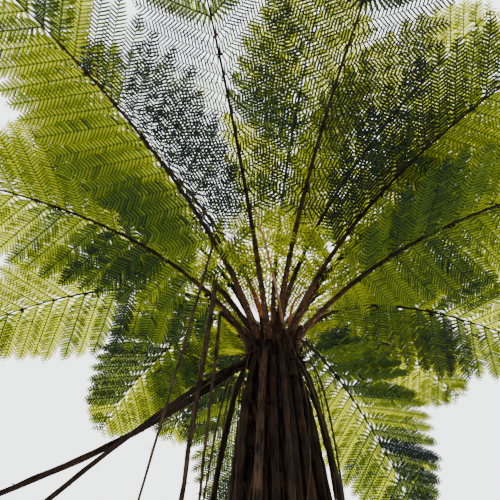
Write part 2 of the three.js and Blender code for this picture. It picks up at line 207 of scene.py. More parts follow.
FRONDS = (
    FrondSpec(340, 55, -26, 1.08, 3.86, 0.105, ("sunlit", "sunlit")),
    FrondSpec(286, 63, -26, 0.72, 3.95, 0.085, ("shade", "shade")),
    FrondSpec(232, 71, -34, 0.85, 3.8, 0.118, ("sunlit", "shade"), 1.08),
    FrondSpec(200, 72, -30, 0.92, 3.8, 0.118, ("fresh", "sunlit"), 1.1),
    FrondSpec(318, 65, -25, 0.95, 3.87, 0.104, ("dark", "sunlit")),
    FrondSpec(258, 70, -21, 1, 3.76, 0.118, ("shade", "shade")),
    FrondSpec(58, 83, -46, 0.86, 3.93, 0.095, ("deep", "fresh"), 1.2),
    FrondSpec(17, 80, -28, 0.93, 3.87, 0.112, ("sunlit", "fresh"), 1.12),
    FrondSpec(96, 78, -34, 0.95, 3.89, 0.108, ("deep", "deep")),
    FrondSpec(330, 66, -14, 0.93, 3.925, 0.084, ("sunlit", "sunlit")),
    FrondSpec(171, 85, -48, 1.04, 3.86, 0.122, ("fresh", "sunlit"), 1.1),
    FrondSpec(134, 84, -55, 1.45, 3.86, 0.122, ("fresh", "deep"), 1.2),
    FrondSpec(357, 82, -21, 0.95, 3.93, 0.094, ("sunlit", "sunlit")),
    FrondSpec(309, 78, -20, 0.91, 3.975, 0.05, ("sunlit", "sunlit")),
    FrondSpec(225, 86, -30, 0.9, 3.98, 0.062, ("fresh", "shade")),
    FrondSpec(205, 76, -15, 1.15, 3.95, 0.095, ("fresh", "sunlit")),
    FrondSpec(280, 86, -30, 0.95, 3.995, 0.012, ("sunlit", "sunlit")),
    FrondSpec(38, 85, -22, 0.94, 3.985, 0.052, ("fresh", "fresh"), 1.15),
    FrondSpec(115, 84, -18, 1, 3.985, 0.062, ("fresh", "fresh"), 1.15),
)
YOUNG_FROND = 15


class Tint(NamedTuple):
    """A blade's colour and that of the light through it, both painted for how much light falls on it, and how
    far its comb of leaflets is closed.
    """

    blade: tuple
    through: tuple
    fill: float


# Lit and shaded copies of one leaf, from a painted deep shade through painted sunlight to a painted glow.
TINTS = {
    "shade": Tint((0.013, 0.021, 0.016), (0.006, 0.008, 0.009), 0.52),
    "dark": Tint((0.022, 0.046, 0.012), (0.026, 0.036, 0.005), 0.74),
    "deep": Tint((0.036, 0.078, 0.011), (0.105, 0.130, 0.004), 0.95),
    "fresh": Tint((0.052, 0.105, 0.012), (0.280, 0.310, 0.004), 0.92),
    "sunlit": Tint((0.072, 0.130, 0.014), (0.600, 0.600, 0.004), 0.9),
    "glowing": Tint((0.085, 0.150, 0.014), (0.950, 0.860, 0.006), 0.66),
}
TINT_ORDER = tuple(TINTS)
LIGHT_THROUGH = 0.55
# Painted light: leaflets near the middle of the crown take a glowing tint, and the outer end of a side in
# painted shade a lighter tint.
PAINTED_GLOW_WITHIN = 0.62
PAINTED_GLOW_TINT = "glowing"
BRIGHTEST_STRAY = "sunlit"
OUTER_FROM = 1.78
OUTER_TINT = "deep"
DRIFT = 0.8
DRIFT_TURN = 0.21
LEAFLET_STRAYS = (0.02, 0.14, 0.68, 0.14, 0.02)
SMALL_STRAYS = (0.01, 0.08, 0.82, 0.08, 0.01)
STRAY_STEPS = (-2, -1, 0, 1, 2)


class StalkTint(NamedTuple):
    """A stalk's dark and light colour in the crown, the pair that follows over a distance, and its skin."""

    near: tuple
    far: tuple
    distance: float
    roughness: float
    grain: tuple


BLACK_BROWN = ((0.0020, 0.0014, 0.0011), (0.032, 0.018, 0.010))
MID_BROWN = ((0.004, 0.0028, 0.002), (0.070, 0.040, 0.022))
TAN = ((0.050, 0.026, 0.012), (0.330, 0.190, 0.090))
STALK_TINTS = {
    "live_stalk": StalkTint(
        ((0.007, 0.004, 0.003), (0.070, 0.030, 0.012)),
        ((0.003, 0.002, 0.0015), (0.022, 0.015, 0.008)),
        0.6,
        0.55,
        (20, 20, 12),
    ),
    "young_stalk": StalkTint(
        ((0.090, 0.018, 0.005), (0.440, 0.115, 0.030)),
        ((0.012, 0.006, 0.003), (0.070, 0.034, 0.014)),
        1.5,
        0.7,
        (20, 20, 12),
    ),
    "dead_stalk": StalkTint(BLACK_BROWN, BLACK_BROWN, 1.0, 0.8, (45, 45, 3)),
    "brown_stalk": StalkTint(MID_BROWN, MID_BROWN, 1.0, 0.8, (45, 45, 3)),
    "tan_stalk": StalkTint(TAN, TAN, 1.0, 0.75, (30, 30, 10)),
}
FADE_FROM = 0.16
FIBRE_COLOURS = ((0.0016, 0.0012, 0.0010), (0.050, 0.028, 0.016))

# Plain colours that are dealt out among the flakes and ribs of a joined piece.
DEALT_COLOURS = {
    "scales": ((0.050, 0.022, 0.010), (0.100, 0.050, 0.024), (0.200, 0.110, 0.055)),
    "young_scales": ((0.250, 0.090, 0.030), (0.420, 0.240, 0.120)),
    "withered": ((0.006, 0.004, 0.003), (0.014, 0.008, 0.005), (0.034, 0.019, 0.010)),
    "rib": ((0.012, 0.014, 0.005), (0.026, 0.030, 0.008)),
}
DEALT_ROUGHNESS = 0.8

# The coiled young frond: a straight stalk, then a flat coil.
CROZIER_AZIMUTH = 150
CROZIER_OUT = 0.026
CROZIER_FOOT = 3.99
CROZIER_HEIGHT = 0.29
CROZIER_WIDTH = 0.02
CROZIER_TIP_SHARE = 0.6
COIL_OUTER = 0.044
COIL_INNER = 0.017
COIL_TURNS = 1.15
COIL_STATIONS = 40
CROZIER_STATIONS = 12
CROZIER_SIDES = 10
CROZIER_SEED = 600

# The dead stalks: the hanging skirt, those that sweep out and those that snapped over.
ROOT_OUT = 0.1
HUNG_TIP_SHARE = 0.4
HUNG_SKIN_SHARE = 0.9
HUNG_SWELL = (0.9, 1.35)
HUNG_STATIONS = 34
BROWN_STALKS = (3, 14, 17, 21)
STALK_GNARL = 0.045
STALK_CROOK = 0.007
DEAD_SIDES = 12
DEAD_GROOVE = 0.6
DEAD_TWIST = 1.3
STUB_LENGTHS = (0.012, 0.03)
STUB_LEAN = 0.5
STUB_WIDTH_SHARE = 0.3
STUB_TAPER = 0.6
STUB_STATIONS = 3
STUB_SIDES = 5
SKIRT_SEED = 200
KNEE_DROP_SHARE = 0.1
KNEE_SPREAD_SHARE = 0.9
SKIRT_SPREAD_WAVE = 0.032
SKIRT_FOOT_WAVE = 0.03
SKIRT_LENGTH_WAVE = 0.26
SKIRT_WAVE_TURN = 2.4


class SkirtRing(NamedTuple):
    """One ring of the skirt: how many stalks, the first one's azimuth and their sizes."""

    count: int
    start: float
    foot: float
    spread: float
    length: float
    width: float


SKIRT_RINGS = (
    SkirtRing(12, 26, 3.6, 0.15, 1.55, 0.022),
    SkirtRing(12, 11, 3.75, 0.215, 1.85, 0.026),
)

# Each sweeping stalk's arch, as azimuth, slopes, bend, foot, distance out and length, and its width.
SWEEPING_STALKS = (
    ((182, -56, -7, 1.29, 3.8, 0.108, 2.25), 0.034),
    ((200, -20, -67, 0.12, 3.73, 0.108, 2.15), 0.024),
)
SWEEPING_TIP_SHARE = 0.35
SWEEPING_STATIONS = 40
SWEEPING_SEED = 300
SNAPPED_ARCH = 0.04
SNAPPED_SHARE = 0.92
RISE_STATIONS = 14
HANG_STATIONS = 26
SNAPPED_SEED = 400
BENT_SWELL = 1.5
BENT_STATIONS = 20
BENT_SEED = 500


class Snapped(NamedTuple):
    """A stalk that rises, snaps over and hangs: its foot, then its snap and its tip from the crown's lean."""

    azimuth: float
    foot: float
    apex: tuple
    tip: tuple
    width: float


SNAPPED_STALKS = {
    "high": Snapped(221, 3.925, (-0.337, -0.355, 4.595), (-0.405, -0.402, 2.45), 0.017),
    "broad": Snapped(216, 3.87, (-0.316, -0.215, 4.215), (-0.335, -0.175, 2.45), 0.03),
    "low": Snapped(215, 3.775, (-0.28, -0.15, 3.985), (-0.288, -0.142, 2.5), 0.02),
}
BENT_STALK = Snapped(302, 3.93, (0.0, -0.344, 4.198), (-0.096, -0.599, 4.318), 0.012)

# The slender dead stalks that hang across the skirt. Azimuths and angles are in degrees.
CROSSING_COUNT = 14
CROSSING_STATIONS = 40
CROSSING_SIDES = 7
CROSSING_START = 255
CROSSING_JITTER = 6
CROSSING_SLANT = 16
CROSSING_BOW = 11
CROSSING_CROOK = 0.012
CROSSING_FEET = (3.62, 3.86)
CROSSING_LENGTHS = (0.9, 1.8)
CROSSING_SPREADS = (0.2, 0.27)
CROSSING_WIDTHS = (0.006, 0.013)
CROSSING_SEED = 800

# The wiry roots that run down the trunk, and the fibres that have come away from it.
STRAND_COUNT = 520
STRAND_STATIONS = 22
STRAND_SIDES = 5
STRAND_TOPS = (0.35, 3.7)
STRAND_LENGTHS = (0.5, 1.9)
STRAND_LOWEST = 0.004
STRAND_DRIFT = 0.03
STRAND_WIDTHS = (0.0025, 0.009)
STRAND_FINENESS = 2.5
STRAND_TIP_SHARE = 0.6
STRAND_OUT_SHARE = 0.3
LOOSE_COUNT = 300
LOOSE_STATIONS = 9
LOOSE_SIDES = 4
LOOSE_HEIGHTS = (0.6, 3.72)
LOOSE_LENGTHS = (0.07, 0.34)
LOOSE_DRIFT = 0.3
LOOSE_OUT = (0.006, 0.045)
LOOSE_BOW = (0.45, 0.95)
LOOSE_SINK = 0.002
LOOSE_WIDTHS = (0.0015, 0.005)
LOOSE_TIP_SHARE = 0.5
LOOSE_SEED = 700

# The broken feet of old stalks, and what is left of withered young fronds.
STUMP_COUNT = 64
STUMP_STATIONS = 7
STUMP_SIDES = 9
STUMP_HEIGHTS = (2.75, 3.86)
STUMP_CROWDING = 0.8
STUMP_SINK = 0.02
STUMP_LEANS = (0.35, 0.75)
STUMP_LENGTHS = (0.04, 0.17)
STUMP_BEND = 0.02
STUMP_WIDTH = 0.03
STUMP_SWELL = (0.55, 1.2)
STUMP_TAPER = 0.5
STUMP_RAGGED = (0.0016, 0.0045)
STUMP_SEED = 100
GOLDEN_TURN = math.radians(137.5)
CROWN_REMNANTS = {
    "reddish_remnant": ((0.195, -0.07, 3.95), (0.20, -0.11, 4.2), (0.326, -0.12, 4.31), 0.015, "young_stalk"),
    "curled_remnant": ((0.108, -0.09, 3.99), (0.085, -0.13, 4.1), (0.125, -0.115, 4.115), 0.008, "tan_stalk"),
}
REMNANT_STATIONS = 14
REMNANT_SIDES = 7
REMNANT_TIP_SHARE = 0.5

# Flakes: the papery scales of the stalks and the withered leaflets under them.
FLAKE_BROADEST = 0.45
FLAKE_LIFT = 0.25
FLAKE_FACES = 2


class Scales(NamedTuple):
    """The scales of one kind of stalk: how many, how far they lean, their lengths and how slim they are."""

    count: int
    leans: tuple
    lengths: tuple
    slimness: float


STALK_SCALES = Scales(130, (0.1, 0.8), (0.010, 0.026), 0.22)
YOUNG_SCALES = STALK_SCALES._replace(count=390)
COIL_SCALES = Scales(420, (0.2, 0.9), (0.006, 0.014), 0.25)
SCALE_SPREAD = 0.22
YOUNG_SCALE_SPREAD = 0.6
SCALE_CROWDING = (1.1, 2.6)
SCALE_START = 0.004
SCALE_ROOT_SHARE = 0.95
COIL_ROOT_SHARE = 0.45
WITHERED_PER_FROND = 22
WITHERED_IN_TUFT = 5
WITHERED_SPAN = (0.16, 0.85)
WITHERED_LENGTHS = (0.018, 0.05)
WITHERED_LEAST = 0.5
WITHERED_FALL = 1.2
WITHERED_SPREAD = 0.55
WITHERED_ROOT_SHARE = 0.8
WITHERED_WIDTH_SHARE = 0.4


def trunk_centre(height):
    """The trunk's centre line at a height."""
    return np.array((CROWN_LEAN * height / CROWN_HEIGHT, 0.0, height))


def level(angle):
    """The level direction at an angle."""
    return np.array((math.cos(angle), math.sin(angle), 0.0))


def outward(azimuth):
    """The level direction at an azimuth in degrees."""
    return level(math.radians(azimuth))


def unit(vectors):
    """The vectors at a length of one."""
    return vectors / np.linalg.norm(vectors, axis=-1, keepdims=True)


def square_to(ways, vectors):
    """The vectors made square to the ways, at a length of one."""
    return unit(vectors - ways * np.sum(vectors * ways, axis=1, keepdims=True))


def seeded(offset):
    """A run of random numbers that is the same each time."""
    return np.random.default_rng(SEED + offset)


def trunk_radius(height):
    radii, heights = zip(*TRUNK_PROFILE)
    return np.interp(height, heights, radii)


class Arch:
    """A stalk that rises from the trunk and bends over in one upright plane."""

    def __init__(self, azimuth, rise, fall, bend, foot, out, length):
        self.way = outward(azimuth)
        self.side = outward(azimuth + 90)
        self.rise, self.fall, self.bend = rise, fall, bend
        start = trunk_centre(foot) + self.way * out
        middles = (np.arange(ARCH_STEPS) + 0.5) / ARCH_STEPS
        steps = self.along(middles) * (length / ARCH_STEPS)
        self.points = np.vstack([start, start + np.cumsum(steps, axis=0)])

    def slope(self, share):
        return np.radians(lerp(self.rise, self.fall, np.asarray(share, float) ** self.bend))

    def along(self, share):
        slope = self.slope(share)[..., None]
        return np.cos(slope) * self.way + np.sin(slope) * UP

    def up(self, share):
        slope = self.slope(share)[..., None]
        return np.cos(slope) * UP - np.sin(slope) * self.way

    def point(self, share):
        at = np.asarray(share, float) * ARCH_STEPS
        stations = np.arange(ARCH_STEPS + 1)
        return np.stack([np.interp(at, stations, self.points[:, k]) for k in range(3)], axis=-1)


def frond_arch(spec):
    return Arch(spec.azimuth, spec.rise, spec.fall, spec.bend, spec.foot, spec.out, FROND_LENGTH)


def stalk_half(share):
    return lerp(STALK_WIDTH, STALK_TIP_WIDTH, np.asarray(share, float) ** STALK_TAPER) / 2


def blade_station(index):
    """The share of the stalk where leaflet pair number index begins."""
    return lerp(BARE_SHARE, 1, 1 - (1 - index / LEAFLET_PAIRS) ** PITCH_CURVE)


def leaflet_length(share):
    """A leaflet's length a share of the way along the blade."""
    if share < LONGEST_AT:
        rise = math.sin(math.pi / 2 * share / LONGEST_AT)
        return LEAFLET_LONGEST * lerp(FIRST_LEAFLET_SHARE, 1, rise)
    late = ((share - LONGEST_AT) / (1 - LONGEST_AT)) ** LEAFLET_DECLINE
    return LEAFLET_LONGEST * lerp(1, LAST_LEAFLET_SHARE, 1 - math.cos(math.pi / 2 * late))


class Leaflet(NamedTuple):
    """One leaflet: where its rib starts, its directions, its sizes, its side and how far it leans forward."""

    root: np.ndarray
    way: np.ndarray
    across: np.ndarray
    normal: np.ndarray
    length: float
    reach: float
    hand: int
    forward: float = 0.0


def leaflet_frame(way, up):
    """The directions across a leaflet and off its face."""
    normal = unit(up - way * (up @ way))
    return np.cross(normal, way), normal


def leaflet_at(arch, index, hand):
    """A leaflet of full length on the left (hand 1) or the right (hand -1)."""
    near, far = blade_station(index), blade_station(index + 1)
    share = (index + 0.5) / LEAFLET_PAIRS
    forward = math.radians(lerp(*LEAFLET_FORWARD, share))
    droop = math.radians(lerp(*LEAFLET_DROOP, share))
    along, up = arch.along(near), arch.up(near)
    way = arch.side * (hand * math.cos(forward) * math.cos(droop))
    way = way + along * (math.sin(forward) * math.cos(droop)) - up * math.sin(droop)
    roots = [arch.point(s) + arch.side * (hand * stalk_half(s)) for s in (near, far)]
    across, normal = leaflet_frame(way, up)
    pitch = np.linalg.norm(roots[1] - roots[0])
    reach = min(SMALL_REACH * pitch, SMALL_REACH_SHARE * leaflet_length(share))
    root = (roots[0] + roots[1]) / 2
    return Leaflet(root, way, across, normal, leaflet_length(share), reach, hand, forward)


def low_leaflet(arch, share, length, hand):
    """One of the short leaflets that dwindle down a stalk, under its blade."""
    along, up = arch.along(share), arch.up(share)
    way = arch.side * (hand * math.cos(LOW_LEAFLET_FORWARD)) + along * math.sin(LOW_LEAFLET_FORWARD)
    across, normal = leaflet_frame(way, up)
    root = arch.point(share) + arch.side * (hand * LOW_ROOT_SHARE * stalk_half(share))
    return Leaflet(root, way, across, normal, length, LOW_REACH_SHARE * length, hand)


def trim_of(leaflet, up, solid_points):
    """How much of its length a leaflet has in the solid, or None where the solid has none."""
    for trim in LEAFLET_TRIMS:
        length = leaflet.length * trim
        tip = leaflet.root + leaflet.way * length + up * (length * LEAFLET_THICKNESS_SHARE / 2)
        if np.linalg.norm(solid_points - tip, axis=1).min() < TRIM_TOLERANCE:
            return trim
    return None


def leaflets_of(number, arch, solid_points):
    """The leaflets that a frond's solid has, the short ones under its blade and the one at its tip."""
    leaflets = []
    for index in range(LEAFLET_PAIRS):
        for hand in (1, -1):
            leaflet = leaflet_at(arch, index, hand)
            trim = trim_of(leaflet, arch.up(blade_station(index)), solid_points)
            if trim:
                leaflets.append(leaflet._replace(length=leaflet.length * trim))
    lows = LEAFY_LEAFLETS if number in LEAFY_FRONDS else LOW_LEAFLETS
    leaflets += [low_leaflet(arch, *low, hand) for low in lows for hand in (1, -1)]
    way = arch.along(TERMINAL_SHARE)
    across, normal = leaflet_frame(way, arch.up(TERMINAL_SHARE))
    root = arch.point(TERMINAL_SHARE)
    leaflets.append(Leaflet(root, way, across, normal, TERMINAL_LENGTH, TERMINAL_REACH, 1))
    return leaflets


def loosened(leaflet, chance):
    """A leaflet turned a little about its rib and bent a little off its line."""
    turn = chance.normal(0, LEAFLET_TURN)
    lift = chance.normal(0, LEAFLET_LIFT)
    swing = chance.normal(0, LEAFLET_SWING)
    way = unit(leaflet.way + leaflet.normal * lift + leaflet.across * swing)
    normal = unit(leaflet.normal + leaflet.across * turn - way * (leaflet.normal @ way))
    normal = unit(normal - way * (normal @ way))
    length = leaflet.length * chance.uniform(*LEAFLET_LENGTHS)
    return leaflet._replace(way=way, normal=normal, across=np.cross(normal, way), length=length)


def rib_point(leaflet, share):
    """A point of a leaflet's rib, which droops towards its tip."""
    share = np.asarray(share, float)[..., None]
    droop = leaflet.length * RIB_DROOP * share**2
    return leaflet.root + leaflet.way * leaflet.length * share - leaflet.normal * droop


def small_leaflet_form():
    """A small leaflet one unit long and wide, as points and four-cornered lobes on both sides of its rib. Its
    narrower side is the half that takes a painted shade.
    """
    ribs = np.linspace(0, 1, SMALL_LOBES + 1)
    points = [(x, 0, 0) for x in ribs]
    faces = []
    for side in (1, -1):
        for lobe in range(SMALL_LOBES):
            middle = (lobe + 0.5) / SMALL_LOBES
            half = 0.5 * (1 - SMALL_TAPER * middle**4)
            near, far = (middle + end / SMALL_LOBES for end in LOBE_SPAN)
            first = len(points)
            # The side that takes the painted shade is made the narrower one.
            half *= 1 + side * (1 - 2 * PAINTED_SHADE_SHARE)
            points.append((near, side * half, -LOBE_DROP))
            points.append((min(far, 1.0), side * half * LOBE_END_SHARE, -LOBE_DROP))
            face = (lobe, first, first + 1, lobe + 1)
            faces.append(face if side < 0 else face[::-1])
    return np.array(points), np.array(faces)


def small_leaflets(leaflet, chance):
    """Where a leaflet's small leaflets start, their directions and their sizes."""
    count = max(int(leaflet.length * SMALL_SPAN / SMALL_PITCH), 3)
    shares = (np.arange(count) + SMALL_START) / count
    inner, outer = SMALL_TIP_BLUNTNESS
    full = np.clip(SMALL_FOOT_SHARE + SMALL_FOOT_RISE * shares, 0, 1) * (1 - shares**inner) ** outer
    lengths = np.maximum(leaflet.reach * full, SMALL_LEAST * SMALL_PITCH)
    roots, ways, acrosses, normals, sizes = [], [], [], [], []
    for hand in (1, -1):
        beside_stalk = FIRST_SMALL_ANGLE + leaflet.forward * hand * leaflet.hand
        angle = lerp(beside_stalk, SMALL_ANGLE, np.clip(shares / FIRST_SMALL_SPAN, 0, 1))
        angle = angle + chance.normal(0, SMALL_SWING, count)
        out = hand * np.sin(angle)[:, None] * leaflet.across
        way = np.cos(angle)[:, None] * leaflet.way + out
        way = unit(way + leaflet.normal * chance.normal(SMALL_TILT, SMALL_TILT_SPREAD, (count, 1)))
        normal = square_to(way, leaflet.normal + leaflet.way * chance.normal(0, SMALL_TWIST, (count, 1)))
        roots.append(rib_point(leaflet, shares + SMALL_STAGGER * hand / count))
        ways.append(way)
        normals.append(normal)
        acrosses.append(np.cross(normal, way))
        sizes.append(lengths * chance.uniform(*SMALL_LENGTHS, count))
    return [np.concatenate(part) for part in (roots, ways, acrosses, normals, sizes)]


def strayed(tints, strays, chance):
    """Tint numbers, some of them moved to a darker or a brighter tint."""
    moved = tints + chance.choice(STRAY_STEPS, len(tints), p=strays)
    return np.clip(moved, 0, len(TINT_ORDER) - 1)


def own_tint(leaflet, tints):
    """The tint of a leaflet's side of the frond, a painted level of light and shade.

    Leaflets in the middle of the crown take a painted glow, and the end of a side in painted shade is lighter
    than the rest of it.
    """
    tint = tints[leaflet.hand > 0]
    out = np.linalg.norm(leaflet.root - trunk_centre(CROWN_HEIGHT))
    if out < PAINTED_GLOW_WITHIN:
        return PAINTED_GLOW_TINT
    return OUTER_TINT if tint == "shade" and out > OUTER_FROM else tint


def placed_forms(leaflet, form, width, chance):
    """The points of each of a leaflet's small leaflets, up to a width wide."""
    roots, ways, acrosses, normals, sizes = small_leaflets(leaflet, chance)
    widths = np.minimum(width, sizes * SMALL_WIDEST)[:, None, None]
    lengthwise, sideways, upward = (form[None, :, k, None] for k in range(3))
    x = lerp(-RIB_OVERLAP * widths, sizes[:, None, None], lengthwise)
    y = sideways * widths
    z = upward * widths - SMALL_DROOP * x * lengthwise
    placed = roots[:, None] + x * ways[:, None] + y * acrosses[:, None] + z * normals[:, None]
    return placed + leaflet.way * (SMALL_CURL * x * lengthwise)


def face_tints(own, counts, face_count, chance):
    """A tint number for each face: its leaflet's own, astray a little, and darker by a painted shade on the
    narrower side of each small leaflet.
    """
    own_numbers = np.array([TINT_ORDER.index(tint) for tint in own])
    drift = np.sin(np.arange(len(own)) * DRIFT_TURN + chance.uniform(0, 2 * np.pi))
    numbers = strayed(own_numbers + np.rint(DRIFT * drift).astype(int), LEAFLET_STRAYS, chance)
    numbers = strayed(np.repeat(numbers, counts), SMALL_STRAYS, chance)
    brightest = np.maximum(own_numbers, TINT_ORDER.index(BRIGHTEST_STRAY))
    numbers = np.minimum(numbers, np.repeat(brightest, counts))
    # Painted shade: the second half of each small leaflet's faces, its narrower side, is made darker.
    painted_shade = np.repeat((0, PAINTED_SHADE_STEPS), face_count // 2)
    return np.maximum(numbers[:, None] - painted_shade, 0).ravel()


def blade_arrays(leaflets, tints, closeness, chance):
    """The points and faces of all small leaflets of a frond, and a tint number for each face."""
    form, faces = small_leaflet_form()
    own = [own_tint(leaflet, tints) for leaflet in leaflets]
    widths = [SMALL_PITCH * TINTS[tint].fill * closeness for tint in own]
    placed = [placed_forms(leaflet, form, width, chance) for leaflet, width in zip(leaflets, widths)]
    counts = [len(forms) for forms in placed]
    starts = np.arange(sum(counts)) * len(form)
    points = np.concatenate(placed).reshape(-1, 3)
    faces_of_all = (starts[:, None, None] + faces).reshape(-1, 4)
    return points, faces_of_all, face_tints(own, counts, len(faces), chance)


def strand_arrays(lines, widths, sides):
    """The points and faces of thin tapering strands, each along its own line of points."""
    lines, widths = np.asarray(lines), np.asarray(widths)
    stations = lines.shape[1]
    ways = unit(np.gradient(lines, axis=1))
    aside = unit(np.cross(ways, np.array(STRAND_ASIDE)))
    above = np.cross(ways, aside)
    turns = 2 * np.pi * np.arange(sides) / sides
    ring = np.cos(turns)[:, None] * aside[:, :, None] + np.sin(turns)[:, None] * above[:, :, None]
    points = lines[:, :, None] + ring * (widths / 2)[:, :, None, None]
    here = np.arange(sides)
    there = np.roll(here, -1)
    rows = np.arange(stations - 1)[:, None] * sides
    faces = np.stack([rows + here, rows + there, rows + sides + there, rows + sides + here], axis=-1)
    starts = np.arange(len(lines))[:, None, None] * stations * sides
    return points.reshape(-1, 3), (starts + faces.reshape(1, -1, 4)).reshape(-1, 4)


def rib_arrays(leaflets):
    """The leaflets' ribs, from the frond's stalk to just short of their tips."""
    shares = np.linspace(*RIB_SPAN, RIB_STATIONS)
    lines = [rib_point(leaflet, shares) for leaflet in leaflets]
    taper = np.linspace(1, RIB_TIP_SHARE, RIB_STATIONS)
    widths = [np.minimum(RIB_WIDTH, leaflet.length * RIB_WIDTH_SHARE) * taper for leaflet in leaflets]
    return strand_arrays(lines, widths, RIB_SIDES)


def joined_mesh(name, points, faces, materials, face_materials=None, smooth=False):
    """One object out of arrays of points and of faces with the same number of corners."""
    mesh = bpy.data.meshes.new(name)
    corners = faces.shape[1]
    mesh.vertices.add(len(points))
    mesh.vertices.foreach_set("co", np.asarray(points, np.float32).ravel())
    mesh.loops.add(faces.size)
    mesh.loops.foreach_set("vertex_index", faces.astype(np.int32).ravel())
    mesh.polygons.add(len(faces))
    mesh.polygons.foreach_set("loop_start", np.arange(0, faces.size, corners, dtype=np.int32))
    for material in materials:
        mesh.materials.append(material)
    if face_materials is not None:
        mesh.polygons.foreach_set("material_index", face_materials.astype(np.int32))
    mesh.polygons.foreach_set("use_smooth", np.full(len(faces), smooth))
    mesh.update(calc_edges=True)
    return placed_object(name, mesh)


def dealt_mesh(name, points, faces, kind, group, chance):
    """A joined mesh whose groups of faces take one of a kind's plain colours each."""
    finishes = DEALT_FINISHES[kind]
    picks = chance.integers(0, len(finishes), len(faces) // group)
    return joined_mesh(name, points, faces, finishes, np.repeat(picks, group))


def in_scene(name, data):
    """A new object of the scene, at the origin."""
    thing = bpy.data.objects.new(name, data)
    bpy.context.scene.collection.objects.link(thing)
    return thing


def placed_object(name, mesh):
    """A mesh as an object at the origin that moves with the plant."""
    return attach(in_scene(name, mesh), "root")


def mesh_of(name, bm, material):
    """A modelled shape as a mesh of one material."""
    mesh = bpy.data.meshes.new(name)
    bm.to_mesh(mesh)
    bm.free()
    mesh.materials.append(material)
    return mesh


def finished_piece(name, bm, material):
    """A modelled shape as a smooth piece, with doubles merged and its faces pointing outwards."""
    bmesh.ops.remove_doubles(bm, verts=bm.verts, dist=MERGE_DISTANCE)
    bmesh.ops.recalc_face_normals(bm, faces=bm.faces)
    mesh = mesh_of(name, bm, material)
    mesh.shade_smooth()
    return placed_object(name, mesh)


class Value:
    """A socket of a node tree. Sums and products of values add their Math nodes."""

    def __init__(self, tree, socket):
        self.tree = tree
        self.socket = socket

    def combined(self, operation, first, second):
        return self.tree.add("ShaderNodeMath", {"operation": operation}, {0: first, 1: second})

    def __add__(self, other):
        return self.combined("ADD", self, other)

    def __sub__(self, other):
        return self.combined("SUBTRACT", self, other)

    def __rsub__(self, other):
        return self.combined("SUBTRACT", other, self)

    def __mul__(self, other):
        return self.combined("MULTIPLY", self, other)

    __radd__ = __add__
    __rmul__ = __mul__


def socket_of(sockets, key):
    """A socket by its number, its name or, where several share a name, its identifier."""
    if isinstance(key, str) and key not in sockets:
        return next(socket for socket in sockets if socket.identifier == key)
    return sockets[key]


class Tree:
    """The nodes and links of a material or of the surround."""

    def __init__(self, owner):
        owner.use_nodes = True
        self.nodes = owner.node_tree.nodes
        self.links = owner.node_tree.links

    def add(self, kind, settings=None, inputs=None, output=0):
        """A node of a kind, with its settings made first, then its sockets' values or links."""
        node = self.nodes.new(kind)
        for key, value in (settings or {}).items():
            if key == "stops":
                for element, (place, colour) in zip(node.color_ramp.elements, value):
                    element.position = place
                    element.color = (*colour, 1)
            else:
                setattr(node, key, value)
        for key, value in (inputs or {}).items():
            self.feed(socket_of(node.inputs, key), value)
        return Value(self, socket_of(node.outputs, output))

    def feed(self, socket, value):
        if isinstance(value, Value):
            self.links.new(value.socket, socket)
        else:
            socket.default_value = value


class Finish(Tree):
    """A material with one Principled shader, and the nodes that feed it."""

    def __init__(self, name, colour, roughness, gloss=0.5):
        self.material = bpy.data.materials.new(name)
        super().__init__(self.material)
        self.shader = self.nodes["Principled BSDF"]
        self.shader.inputs["Base Color"].default_value = (*colour, 1)
        self.shader.inputs["Roughness"].default_value = roughness
        self.shader.inputs["Specular IOR Level"].default_value = gloss

    def place(self, scale):
        """The place on the piece, stretched by a scale for each axis."""
        place = self.add("ShaderNodeTexCoord", output="Object")
        return self.add("ShaderNodeMapping", inputs={"Vector": place, "Scale": scale})

    def speckle(self, place, scale, detail=4.0, distortion=0.0):
        inputs = {"Vector": place, "Scale": scale, "Detail": detail, "Distortion": distortion}
        return self.add("ShaderNodeTexNoise", inputs=inputs)

    def blend(self, low, high, value, span=(0.3, 0.7)):
        """A colour between two, by a value."""
        stops = list(zip(span, (low, high)))
        return self.add("ShaderNodeValToRGB", {"stops": stops}, {"Fac": value})

    def faded(self, near, far, value):
        """One colour that gives way to another as a value rises from 0 to 1."""
        inputs = {0: value, "A_Color": near, "B_Color": far}
        return self.add("ShaderNodeMix", {"data_type": "RGBA"}, inputs, output="Result_Color")

    def off_crown(self):
        """The distance from the middle of the crown."""
        place = self.add("ShaderNodeTexCoord", output="Object")
        inputs = {0: place, 1: (CROWN_LEAN, 0, CROWN_HEIGHT)}
        return self.add("ShaderNodeVectorMath", {"operation": "DISTANCE"}, inputs, output="Value")

    def bump(self, height, strength, distance):
        inputs = {"Height": height, "Strength": strength, "Distance": distance}
        self.feed(self.shader.inputs["Normal"], self.add("ShaderNodeBump", inputs=inputs))

    def use(self, socket, value):
        self.feed(self.shader.inputs[socket], value)


def fibre_finish():
    """Matted roots and fibre: dark strands with paler and rustier ones, and deep cracks."""
    finish = Finish("fibre", FIBRE_COLOURS[0], roughness=0.95, gloss=0.03)
    strands = finish.speckle(finish.place((30, 30, 1.8)), scale=3.0, detail=6.0, distortion=0.4)
    patches = finish.speckle(finish.place((1, 1, 0.5)), scale=6.0)
    pattern = strands * 0.65 + patches * 0.35
    finish.use("Base Color", finish.blend(*FIBRE_COLOURS, pattern, span=(0.42, 0.64)))
    finish.use("Roughness", strands * 0.2 + 0.78)
    finish.bump(strands, strength=0.8, distance=0.006)
    return finish.material


